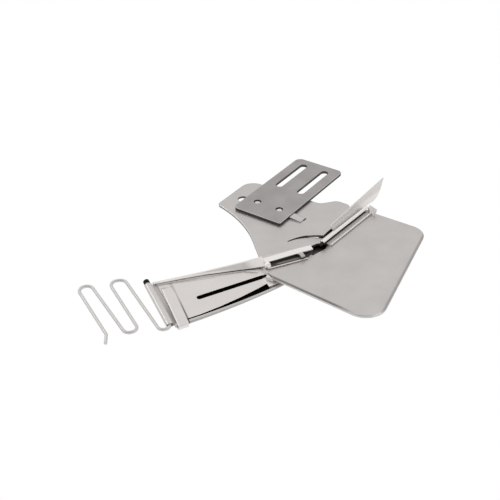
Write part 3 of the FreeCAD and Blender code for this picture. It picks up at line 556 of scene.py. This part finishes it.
class BINDER_OT_folder(Operator):
    """Finish the folder, its insert and the mouth clip, with painted light and shade"""
    bl_idname = "binder.folder"
    bl_label = "Finish the folder"

    def execute(self, context):
        look = context.scene.binder_finish
        tone, gloss = look.folder_tone, look.folder_roughness
        over_face = Q_AXIS * FOLDER_ROLL + UP
        inside = FOLDER_ORIGIN + FOLDER_FACE_Z * UP
        edge = STRAP_EDGE.x * S_AXIS + STRAP_EDGE.y * Q_AXIS + FOLDER_ORIGIN
        shell = metal("Polished folder", tone, roughness=gloss, mottle=0.03, bump=0.02, spread=0.05)
        # Painted shade on faces turned to the far side
        paint_shading(shell, [facing(shell, -Q_AXIS, 0.3, 0.7)], tone=0.3, share=0.6)
        # Painted highlight on the leaf, painted grey shade on the near lip's top and painted shade on the
        # outer walls
        leaf = zone(shell, inside, [(over_face, 0.5, 8), (Q_AXIS, -9, 6)])
        paint_shading(shell, [leaf, facing(shell, UP, 0.4, 0.7)], tone=0.95, share=0.6)
        near_lip = zone(shell, inside, [(over_face, -2.6, 0.3), (Q_AXIS, 9, 25)])
        paint_shading(shell, [near_lip, facing(shell, UP, 0.75, 0.9)], tone=0.6, share=0.8)
        outer = zone(shell, inside, [(Q_AXIS, 12, 30, 2)])
        paint_shading(shell, [outer, facing(shell, Q_AXIS, 0.3, 0.6)], tone=0.35, share=0.7)
        # Painted light on the tray's floor, and near-black painted shade inside the tray on its near and far
        # sides
        low = (over_face, -3.0, -0.5)
        floor = facing(shell, UP, 0.25, 0.35)
        paint_shading(shell, [zone(shell, inside, [low]), floor], tone=0.85)
        near_side = zone(shell, inside, [low, (S_AXIS, -50.5, -4, 1), (Q_AXIS, 6, 25)])
        paint_shading(shell, [near_side, floor], tone=0.006)
        far_side = zone(shell, inside, [low, (S_AXIS, -28, 9, 14), (Q_AXIS, -9, 6)])
        paint_shading(shell, [far_side, floor], tone=0.01)
        inward = facing(shell, Q_AXIS, 0.4, 0.6)
        # Painted light on the leaf's edge
        leaf_edge = zone(shell, inside, [(over_face, 0.4, 1.6), (Q_AXIS, -9, 4), (S_AXIS, -56, -26, 14)])
        paint_shading(shell, [leaf_edge, facing(shell, Q_AXIS, 0.2, 0.4)], tone=1.0, share=0.85)
        # Near-black painted shade in the tray's corner by the base
        corner = zone(shell, inside, [low, (S_AXIS, -5, 1, 0.5), (Q_AXIS, 14.4, 16, 0.3)])
        paint_shading(shell, [corner, floor], tone=0.006)
        # Painted light on the far wall's inner side, painted shade under the leaf and painted light where the
        # leaf lifts
        wall = zone(shell, inside, [(over_face, -3.0, 0.4), (Q_AXIS, -9, 4)])
        paint_shading(shell, [wall, inward], tone=0.8)
        under_leaf = zone(shell, inside, [(over_face, -3.0, 0.4), (Q_AXIS, -9, 4), (S_AXIS, -28, 9, 14)])
        paint_shading(shell, [under_leaf, inward], tone=0.02, share=0.9)
        lifted = zone(shell, inside, [(over_face, 0.0, 1.2, 0.5), (Q_AXIS, -9, 4), (S_AXIS, -6, 9, 6)])
        paint_shading(shell, [lifted, inward], tone=1.0, share=0.9)
        # Painted shadow of the strap on the near lip
        strap_shadow = zone(shell, edge, [(STRAP_AXIS, -0.6, 0.7, 0.4), (Q_AXIS, 20, 40, 1)])
        paint_shading(shell, [strap_shadow], tone=0.02, share=0.75)
        dress("folder_shell", shell)
        insert = metal("Polished insert", tone, roughness=gloss + 0.08, mottle=0.02, bump=0.015, spread=0.04)
        # Near-black painted shade in the tray seen past the strap
        past_strap = zone(insert, FOLDER_ORIGIN, [(S_AXIS, -50, -4, 1)])
        paint_shading(insert, [past_strap, facing(insert, UP, 0.75, 0.6)], tone=0.006)
        # Painted shade line along the crease, and painted light on the strip beyond it
        crease = zone(insert, FOLDER_ORIGIN, [(CREASE_AXIS, 2.65, 2.85, 0.3), (S_AXIS, -41, -28, 6)])
        paint_shading(insert, [crease], tone=0.15, share=0.35)
        paint_shading(insert, [zone(insert, FOLDER_ORIGIN, [(CREASE_AXIS, -12, 0.5, 1.6)])], tone=1.0, share=0.7)
        # Near-black painted shade under the leaf
        covered = zone(insert, FOLDER_ORIGIN, [(LEAF_AXIS, -12, 1.2, 0.2), (S_AXIS, -20, 3, 14)])
        paint_shading(insert, [covered], tone=0.006, share=0.95)
        # Painted shadow beside the strap, deeper towards the near lip
        shadow = zone(insert, edge, [(STRAP_AXIS, -0.5, 0.6, 0.5)])
        paint_shading(insert, [shadow], tone=0.15, share=0.32)
        deeper = zone(insert, edge, [(STRAP_AXIS, -0.5, 0.8, 0.4), (Q_AXIS, 18, 40, 14)])
        paint_shading(insert, [deeper], tone=0.02, share=0.6)
        # Painted light on the insert where it meets the base
        by_base = zone(insert, FOLDER_ORIGIN, [(S_AXIS, -3.5, 2, 3), (Q_AXIS, -2, 12)])
        paint_shading(insert, [by_base, facing(insert, UP, 0.75, 0.9)], tone=1.0, share=0.8)
        dress("folder_insert", insert)
        clip = metal("Polished clip", tone, roughness=gloss + 0.08, mottle=0.03, bump=0.03, spread=0.05)
        # Painted shade dulling the sleeve's reflection, painted highlights on the strap's left wall and rim,
        # and a painted shade line at the strap's far end
        sleeve = zone(clip, FOLDER_ORIGIN, [(S_AXIS, -62, -55.3)])
        paint_shading(clip, [sleeve], tone=0.68, share=0.75)
        strap = zone(clip, FOLDER_ORIGIN, [(S_AXIS, -55.2, -40)])
        paint_shading(clip, [strap, facing(clip, -S_AXIS, 0.4, 0.7)], tone=1.0)
        strap_rim = zone(clip, FOLDER_ORIGIN, [(STRAP_MOUTH_AXIS, -53.4, -52.5, 0.2)])
        paint_shading(clip, [strap_rim, facing(clip, UP, 0.6, 0.8)], tone=1.0, share=0.75)
        strap_end = zone(clip, FOLDER_ORIGIN, [(S_AXIS, -55.2, -40), (Q_AXIS, -4, -2.2, 0.4)])
        paint_shading(clip, [strap_end], tone=0.3, share=0.5)
        dress("mouth_clip", clip)
        self.flange(tone, gloss)
        self.turned_edge(tone, gloss)
        self.base_step(tone, gloss)
        return {"FINISHED"}

    def flange(self, tone, gloss):
        """Sheet that joins the sleeve to the strap, a little below the face."""
        outline = [(-56.6, -1.0), (-56.2, -0.6), (-55.6, -0.2), (-55.0, -0.12), (-53.75, -0.12),
                   (-53.75, -0.45), (-55.0, -0.45), (-55.5, -0.55), (-56.0, -0.95), (-56.4, -1.3)]
        ends = (-7.6, 21.2)
        shape = bmesh.new()
        rings = [[shape.verts.new(folder_point(s, q, over)) for s, over in outline] for q in ends]
        close_rings(shape, rings)
        steel = metal("Mouth flange", tone, roughness=gloss + 0.1, mottle=0.03, bump=0.03)
        # Painted shade over the groove between sleeve and strap, darker towards the near end
        paint_shading(steel, [zone(steel, FOLDER_ORIGIN, [(S_AXIS, -60, -50)])], tone=0.45, share=0.8)
        deeper = zone(steel, FOLDER_ORIGIN, [(Q_AXIS, 18, 30, 16)])
        paint_shading(steel, [deeper], tone=0.2, share=0.6)
        flange = finish_mesh("mouth_flange", shape, steel)
        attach(flange, "root")

    def turned_edge(self, tone, gloss):
        """Far edge of the insert, turned up towards the leaf that folds the tape, and its small tab."""
        shape = bmesh.new()
        rings = []
        for s in (-54.0, -42.0, -30.0, -20.0, -11.0, -8.0, -5.0, -1.8):
            lift = max(0.0, s - LIFT_START) * LIFT_SLOPE
            width = max(LEAF_LEAST, LEAF_WIDTH[0] + LEAF_WIDTH[1] * s)
            leaf = FAR_EDGE[0] + FAR_EDGE[1] * s + width + 1.1 * lift
            low, high = leaf + 0.4 + 1.2 * lift, leaf - 0.2
            rise = 0.12 + 0.35 * lift
            outline = [(low, 0.02), (high, rise), (high - 0.2, rise - 0.1), (low - 0.4, -0.1)]
            rings.append([shape.verts.new(folder_point(s, q, over)) for q, over in outline])
        close_rings(shape, rings)
        # the tab stands between the tray's near lip and the base
        tab = [(-4.4, 9.5), (-4.2, 14.6), (2.0, 13.9), (2.0, 9.5)]
        rings = [[shape.verts.new(folder_point(s, q, over)) for s, q in tab] for over in (-0.3, 0.03)]
        close_rings(shape, rings)
        steel = metal("Turned edge", tone, roughness=gloss + 0.1, mottle=0.03, bump=0.03)
        # Painted light on the edge's upturned faces
        paint_shading(steel, [facing(steel, UP, 0.1, 0.4)], tone=1.0, share=0.8)
        edge = finish_mesh("insert_turned_edge", shape, steel)
        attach(edge, "root")

    def base_step(self, tone, gloss):
        """Drawn-down edge of the base, which closes the gap over the insert on both sides of the slot."""
        shape = bmesh.new()
        rings = []
        # the step runs down to the folder's face, and reaches back by less towards the front
        for q, reach in ((-0.6, -3.0), (1.5, -2.7), (3.5, -2.4), (6.0, -1.9), (8.0, -1.67)):
            face = FOLDER_FACE_Z / MM - FOLDER_ROLL * q
            corners = [(STEP_ROOT, -0.03), (-1.7, -0.1), (reach, face + 0.03), (reach, face - 0.1),
                       (STEP_ROOT, -1.1)]
            rings.append([shape.verts.new(FOLDER_ORIGIN + folder_way(s, q, z)) for s, z in corners])
        close_rings(shape, rings)
        rings = []
        # the tongue is three-cornered, with its top and bottom edges drawn in
        for z, inset in ((-0.45, 0.12), (-0.7, 0.0), (-1.7, 0.0), (-2.2, 0.12)):
            corners = [(STEP_ROOT, 8.1 + inset), (-3.9 + 2 * inset, 9.8), (STEP_ROOT, 12.9 - inset)]
            rings.append([shape.verts.new(FOLDER_ORIGIN + folder_way(s, q, z)) for s, q in corners])
        close_rings(shape, rings)
        steel = metal("Drawn edge", tone, roughness=gloss + 0.1, mottle=0.03, bump=0.03)
        # Painted light on the drawn edge
        paint_shading(steel, [zone(steel, FOLDER_ORIGIN, [(S_AXIS, -6, 0.0)])], tone=0.85, share=0.8)
        step = finish_mesh("base_drawn_edge", shape, steel)
        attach(step, "root")


class BINDER_OT_wire(Operator):
    """Finish the wire guide and its cap"""
    bl_idname = "binder.wire"
    bl_label = "Finish the wire guide"

    def execute(self, context):
        look = context.scene.binder_finish
        wire = metal("Drawn wire", look.wire_tone, roughness=0.5, mottle=0.05, bump=0.1, edge=0.3 * MM)
        # Painted light on the wire's upper side
        paint_shading(wire, [facing(wire, UP, -0.2, 0.6)], tone=0.72, share=0.55)
        dress("wire_guide", wire)
        cap = bpy.data.materials.new("Black moulding")
        cap.use_nodes = True
        nodes, links = cap.node_tree.nodes, cap.node_tree.links
        shader = nodes["Principled BSDF"]
        grain = nodes.new("ShaderNodeGroup")
        grain.node_tree = grain_group()
        tone = ramp(nodes, [(0.3, 0.002), (0.7, 0.005)])
        links.new(grain.outputs["Mottle"], tone.inputs["Fac"])
        links.new(tone.outputs["Color"], shader.inputs["Base Color"])
        shader.inputs["Specular IOR Level"].default_value = 0.12
        gloss = ramp(nodes, [(0.3, 0.4), (0.7, 0.55)])
        links.new(grain.outputs["Height"], gloss.inputs["Fac"])
        links.new(gloss.outputs["Color"], shader.inputs["Roughness"])
        dress("wire_cap", cap)
        return {"FINISHED"}


class BINDER_OT_channels(Operator):
    """Finish the channels, the guide blade and the cup, with painted light and shade"""
    bl_idname = "binder.channels"
    bl_label = "Finish the channels"

    def execute(self, context):
        look = context.scene.binder_finish
        turn = metal("Polished turn channel", look.folder_tone, roughness=0.2, mottle=0.03, bump=0.04)
        # Painted shade in the channel's floor with a painted lighter streak in it, a painted glint on the
        # leaf and painted shade behind it
        level = facing(turn, UP, 0.4, 0.7)
        floor = zone(turn, FOLDER_ORIGIN, [(Q_AXIS, -4, 5.3), (UP, 0.3, 0.7)])
        paint_shading(turn, [floor, level], tone=0.08)
        lit_streak = zone(turn, FOLDER_ORIGIN, [(Q_AXIS, 3.4, 4.0, 0.5), (UP, 0.3, 0.7), (S_AXIS, 7, 17, 3)])
        paint_shading(turn, [lit_streak, level], tone=0.35, share=0.75)
        top = facing(turn, UP, 0.3, 0.6)
        glint = zone(turn, FOLDER_ORIGIN, [(Q_AXIS, -0.6, 3, 0.8), (UP, 1.3, 4)])
        paint_shading(turn, [glint, top], tone=1.0, share=0.8)
        shade = zone(turn, FOLDER_ORIGIN, [(Q_AXIS, -4, -1.4, 0.8), (UP, 1.3, 4)])
        paint_shading(turn, [shade, top], tone=0.6, share=0.7)
        # Painted shade on the finger and on the inner wall
        finger = zone(turn, FOLDER_ORIGIN, [(S_AXIS, 17.3, 20.3), (Q_AXIS, 2.5, 5.6, 0.6), (UP, 0.9, 3.5)])
        paint_shading(turn, [finger], tone=0.35, share=0.6)
        wall = zone(turn, FOLDER_ORIGIN, [(Q_AXIS, -4, 1), (UP, 0.3, 1.9)])
        paint_shading(turn, [wall, facing(turn, Q_AXIS, 0.4, 0.7)], tone=0.13)
        dress("turn_channel", turn)
        blade = metal("Blade steel", look.folder_tone, roughness=0.4, stretch=(1.0, 0.15, 1.0), scale=500.0,
                      mottle=0.12, bump=0.05)
        # Painted shade on the blade's outer side and painted light on its foot
        outside = facing(blade, SIDE_AXIS, 0.3, 0.6)
        paint_shading(blade, [outside], tone=0.72, share=0.6)
        foot = zone(blade, DELIVERY_ORIGIN, [(UP, 0.0, 2.6, 1.5)])
        paint_shading(blade, [foot, outside], tone=1.0, share=0.75)
        dress("guide_blade", blade)
        # The cup is painted dark for the shade seen down the turn window
        dress("turn_cup", metal("Cup in painted shade", CUP_SHADE_TONE, roughness=0.6, mottle=0.4, bump=0.4))
        return {"FINISHED"}


class BINDER_OT_delivery(Operator):
    """Fold the delivery channel, with a rounder and narrower ridge than the solid's"""
    bl_idname = "binder.delivery"
    bl_label = "Make the delivery channel"

    def execute(self, context):
        look = context.scene.binder_finish
        shape = bmesh.new()
        # outlines as (side, height): the floor with its outer lip, the folded ridge and the end tab
        lip = [(-0.6, 0.6), (-0.6, 1.1), (-0.5, 1.2), (-0.1, 1.2), (0.0, 1.1), (0.0, 0.1), (-0.1, 0.0),
               (-6.9, 0.0), (-6.9, 0.6)]
        along_delivery(shape, lip, *LIP_RUN)
        outer, inner = RIDGE_RADII
        ridge = [(-4.55, 0.2)] + arc(RIDGE_MIDDLE, outer, 180, 30, 9)
        ridge += arc(RIDGE_MIDDLE, inner, 30, 180, 9) + [(-3.95, 0.2)]
        along_delivery(shape, ridge, *RIDGE_RUN)
        tab = [(-2.5, 0.9), (2.3, 0.5), (2.5, 0.7), (2.5, 3.0), (2.3, 3.2), (-2.3, 4.1), (-2.5, 4.0)]
        along_delivery(shape, tab, *TAB_RUN)
        shape.verts.ensure_lookup_table()
        for vert in shape.verts[-2 * len(tab):]:
            vert.co += RUN_AXIS * max(0.0, vert.co.z - TAB_ROOT) * math.tan(TAB_LEAN)
        steel = metal("Polished delivery channel", look.folder_tone, roughness=0.2, mottle=0.03, bump=0.04,
                      edge=0.25 * MM)
        # Painted light on the floor, painted shade deep in the channel, painted highlights on the ridge, the
        # lip and the end tab, and a painted shadow at the lip's foot
        floor = zone(steel, DELIVERY_ORIGIN, [(SIDE_AXIS, -5.8, -0.5), (UP, 0.5, 0.7)])
        paint_shading(steel, [floor, facing(steel, UP, 0.4, 0.7)], tone=0.8)
        deep = zone(steel, DELIVERY_ORIGIN, [(SIDE_AXIS, -5.8, -3.3, 0.8), (UP, 0.3, 2.3)])
        paint_shading(steel, [deep], tone=0.07)
        ridge_top = zone(steel, DELIVERY_ORIGIN, [(SIDE_AXIS, -4.9, -2), (UP, 2.6, 4)])
        paint_shading(steel, [ridge_top, facing(steel, UP, -0.1, 0.5)], tone=1.0, share=0.75)
        lip_top = zone(steel, DELIVERY_ORIGIN, [(SIDE_AXIS, -0.7, 0.1), (UP, 0.5, 1.3, 0.3)])
        paint_shading(steel, [lip_top], tone=1.0, share=0.8)
        foot = zone(steel, DELIVERY_ORIGIN, [(SIDE_AXIS, -0.2, 0.1), (UP, -0.1, 0.3)])
        paint_shading(steel, [foot], tone=0.05, share=0.7)
        end_tab = zone(steel, DELIVERY_ORIGIN, [(RUN_AXIS, 38.3, 43)])
        paint_shading(steel, [end_tab], tone=1.0, share=0.45)
        channel = finish_mesh("delivery_channel_folded", shape, steel)
        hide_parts("delivery_channel")
        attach(channel, "root")
        return {"FINISHED"}


class BINDER_OT_joint(Operator):
    """Run a bead of solder where the folder meets the channel on the base"""
    bl_idname = "binder.joint"
    bl_label = "Make the solder bead"

    def execute(self, context):
        look = context.scene.binder_finish
        shape = bmesh.new()
        bmesh.ops.create_icosphere(shape, subdivisions=4, radius=1.0)
        for vert in shape.verts:
            wobble = 1.0 + BEAD_WOBBLE * noise.noise(vert.co * 1.6 + Vector((3.1, 0.4, 7.7)))
            s, q, z = (part * radius for part, radius in zip(vert.co, BEAD_RADII))
            vert.co = folder_way(s, q, z) * wobble
            vert.co.z = max(vert.co.z, BEAD_BELOW)
        middle = folder_way(*BEAD_MIDDLE)
        rings = []
        # a thin seam fills the gap between the leaf and the channel
        for q, high in ((-2.2, 2.56), (-1.0, 2.2), (0.5, 1.72), (2.4, 1.2)):
            seam = [(-0.9, high - 0.1), (-0.45, high + 0.07), (0.0, high - 0.02), (0.0, high - 0.6),
                    (-0.9, high - 0.6)]
            rings.append([shape.verts.new(folder_way(s, q, z) - middle) for s, z in seam])
        close_rings(shape, rings)
        solder = metal("Solder", scaled(look.folder_tone, 1.3), roughness=0.3, mottle=0.06, bump=0.3)
        # Painted highlight on the bead's upper side
        paint_shading(solder, [facing(solder, UP, -0.4, 0.3)], tone=1.0, share=0.8)
        bead = finish_mesh("joint_bead", shape, solder, smooth=True)
        bead.data.transform(Matrix.Translation(FOLDER_ORIGIN + middle))
        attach(bead, "root")
        return {"FINISHED"}


class BINDER_OT_stage(Operator):
    """Make the backdrop, the lamps and the camera"""
    bl_idname = "binder.stage"
    bl_label = "Set the stage"

    def execute(self, context):
        stage = context.scene.binder_stage
        self.camera(context, stage)
        self.world(context, stage)
        self.floor(context)
        for name, place, width, power in LAMPS:
            self.lamp(context, name, place, width, power)
        context.scene.view_settings.view_transform = "Standard"
        return {"FINISHED"}

    def camera(self, context, stage):
        a, e = stage.azimuth, stage.elevation
        right = Vector((math.cos(a), math.sin(a), 0.0))
        back = Vector((math.sin(a) * math.cos(e), -math.cos(a) * math.cos(e), math.sin(e)))
        up = back.cross(right)
        data = bpy.data.cameras.new("Camera")
        data.lens = stage.lens
        data.sensor_width = 36.0
        data.clip_start, data.clip_end = 0.01, 10.0
        data.dof.use_dof = False
        camera = bpy.data.objects.new("Camera", data)
        turn = Matrix((right, up, back)).transposed().to_4x4()
        camera.matrix_world = Matrix.Translation(stage.camera_place) @ turn
        context.scene.collection.objects.link(camera)
        context.scene.camera = camera

    def world(self, context, stage):
        world = bpy.data.worlds.new("Studio")
        world.use_nodes = True
        context.scene.world = world
        nodes, links = world.node_tree.nodes, world.node_tree.links
        nodes.clear()
        place = nodes.new("ShaderNodeTexCoord")
        direction = place.outputs["Generated"]
        height = vector_dot(nodes, links, direction, UP)
        rise = between(nodes, links, height, *DOME_HEIGHTS, *DOME_TONES)
        dark_side = Vector((math.sin(stage.azimuth), -math.cos(stage.azimuth), math.tan(DARK_HEIGHT)))
        towards = vector_dot(nodes, links, direction, dark_side.normalized())
        rim, core = math.cos(DARK_SPREAD), math.cos(0.5 * DARK_SPREAD)
        room = between(nodes, links, towards, rim, core, 1.0, DARK_TONE)
        shade = times(nodes, links, rise, room)
        dome = nodes.new("ShaderNodeBackground")
        dome.inputs["Strength"].default_value = stage.sky
        links.new(shade, dome.inputs["Color"])
        white = nodes.new("ShaderNodeBackground")
        white.inputs["Color"].default_value = (1.0, 1.0, 1.0, 1.0)
        path = nodes.new("ShaderNodeLightPath")
        mix = nodes.new("ShaderNodeMixShader")
        links.new(path.outputs["Is Camera Ray"], mix.inputs["Fac"])
        links.new(dome.outputs[0], mix.inputs[1])
        links.new(white.outputs[0], mix.inputs[2])
        out = nodes.new("ShaderNodeOutputWorld")
        links.new(mix.outputs[0], out.inputs["Surface"])

    def floor(self, context):
        mesh = bpy.data.meshes.new("Floor")
        shape = bmesh.new()
        bmesh.ops.create_grid(shape, x_segments=1, y_segments=1, size=FLOOR_REACH)
        shape.to_mesh(mesh)
        shape.free()
        floor = bpy.data.objects.new("Floor", mesh)
        floor.location.z = cad_low.z - FLOOR_DROP
        context.scene.collection.objects.link(floor)
        material = bpy.data.materials.new("Pale floor")
        material.use_nodes = True
        nodes, links = material.node_tree.nodes, material.node_tree.links
        nodes.clear()
        glow = nodes.new("ShaderNodeEmission")
        glow.inputs["Color"].default_value = (1.0, 1.0, 1.0, 1.0)
        clear = nodes.new("ShaderNodeBsdfTransparent")
        side = nodes.new("ShaderNodeNewGeometry")
        mix = nodes.new("ShaderNodeMixShader")
        links.new(side.outputs["Backfacing"], mix.inputs["Fac"])
        links.new(glow.outputs[0], mix.inputs[1])
        links.new(clear.outputs[0], mix.inputs[2])
        out = nodes.new("ShaderNodeOutputMaterial")
        links.new(mix.outputs[0], out.inputs["Surface"])
        mesh.materials.append(material)

    def lamp(self, context, name, place, width, power):
        data = bpy.data.lights.new(name, "AREA")
        data.shape = "DISK"
        data.size = width
        data.energy = power
        lamp = bpy.data.objects.new(name, data)
        lamp.location = place
        lamp.rotation_mode = "QUATERNION"
        lamp.rotation_quaternion = (Vector(LAMP_TARGET) - Vector(place)).to_track_quat("-Z", "Y")
        context.scene.collection.objects.link(lamp)


class BINDER_PT_panel(Panel):
    """Finishes and stage of the binder foot"""
    bl_idname = "BINDER_PT_panel"
    bl_label = "Binder foot"
    bl_space_type = "VIEW_3D"
    bl_region_type = "UI"
    bl_category = "Binder foot"

    def draw(self, context):
        layout = self.layout
        for settings in (context.scene.binder_finish, context.scene.binder_stage):
            for name in settings.__annotations__:
                layout.prop(settings, name)
        for operator in STEPS:
            layout.operator(operator.bl_idname)


STEPS = (BINDER_OT_plates, BINDER_OT_rivets, BINDER_OT_folder, BINDER_OT_wire, BINDER_OT_channels,
         BINDER_OT_delivery, BINDER_OT_joint, BINDER_OT_stage)
CLASSES = (FinishSettings, StageSettings, *STEPS, BINDER_PT_panel)


def register():
    for cls in CLASSES:
        bpy.utils.register_class(cls)
    bpy.types.Scene.binder_finish = PointerProperty(type=FinishSettings)
    bpy.types.Scene.binder_stage = PointerProperty(type=StageSettings)


def unregister():
    del bpy.types.Scene.binder_stage
    del bpy.types.Scene.binder_finish
    for cls in reversed(CLASSES):
        bpy.utils.unregister_class(cls)


def main():
    register()
    bpy.ops.binder.plates()
    bpy.ops.binder.rivets()
    bpy.ops.binder.folder()
    bpy.ops.binder.wire()
    bpy.ops.binder.channels()
    bpy.ops.binder.delivery()
    bpy.ops.binder.joint()
    bpy.ops.binder.stage()


if __name__ == "__main__":
    main()
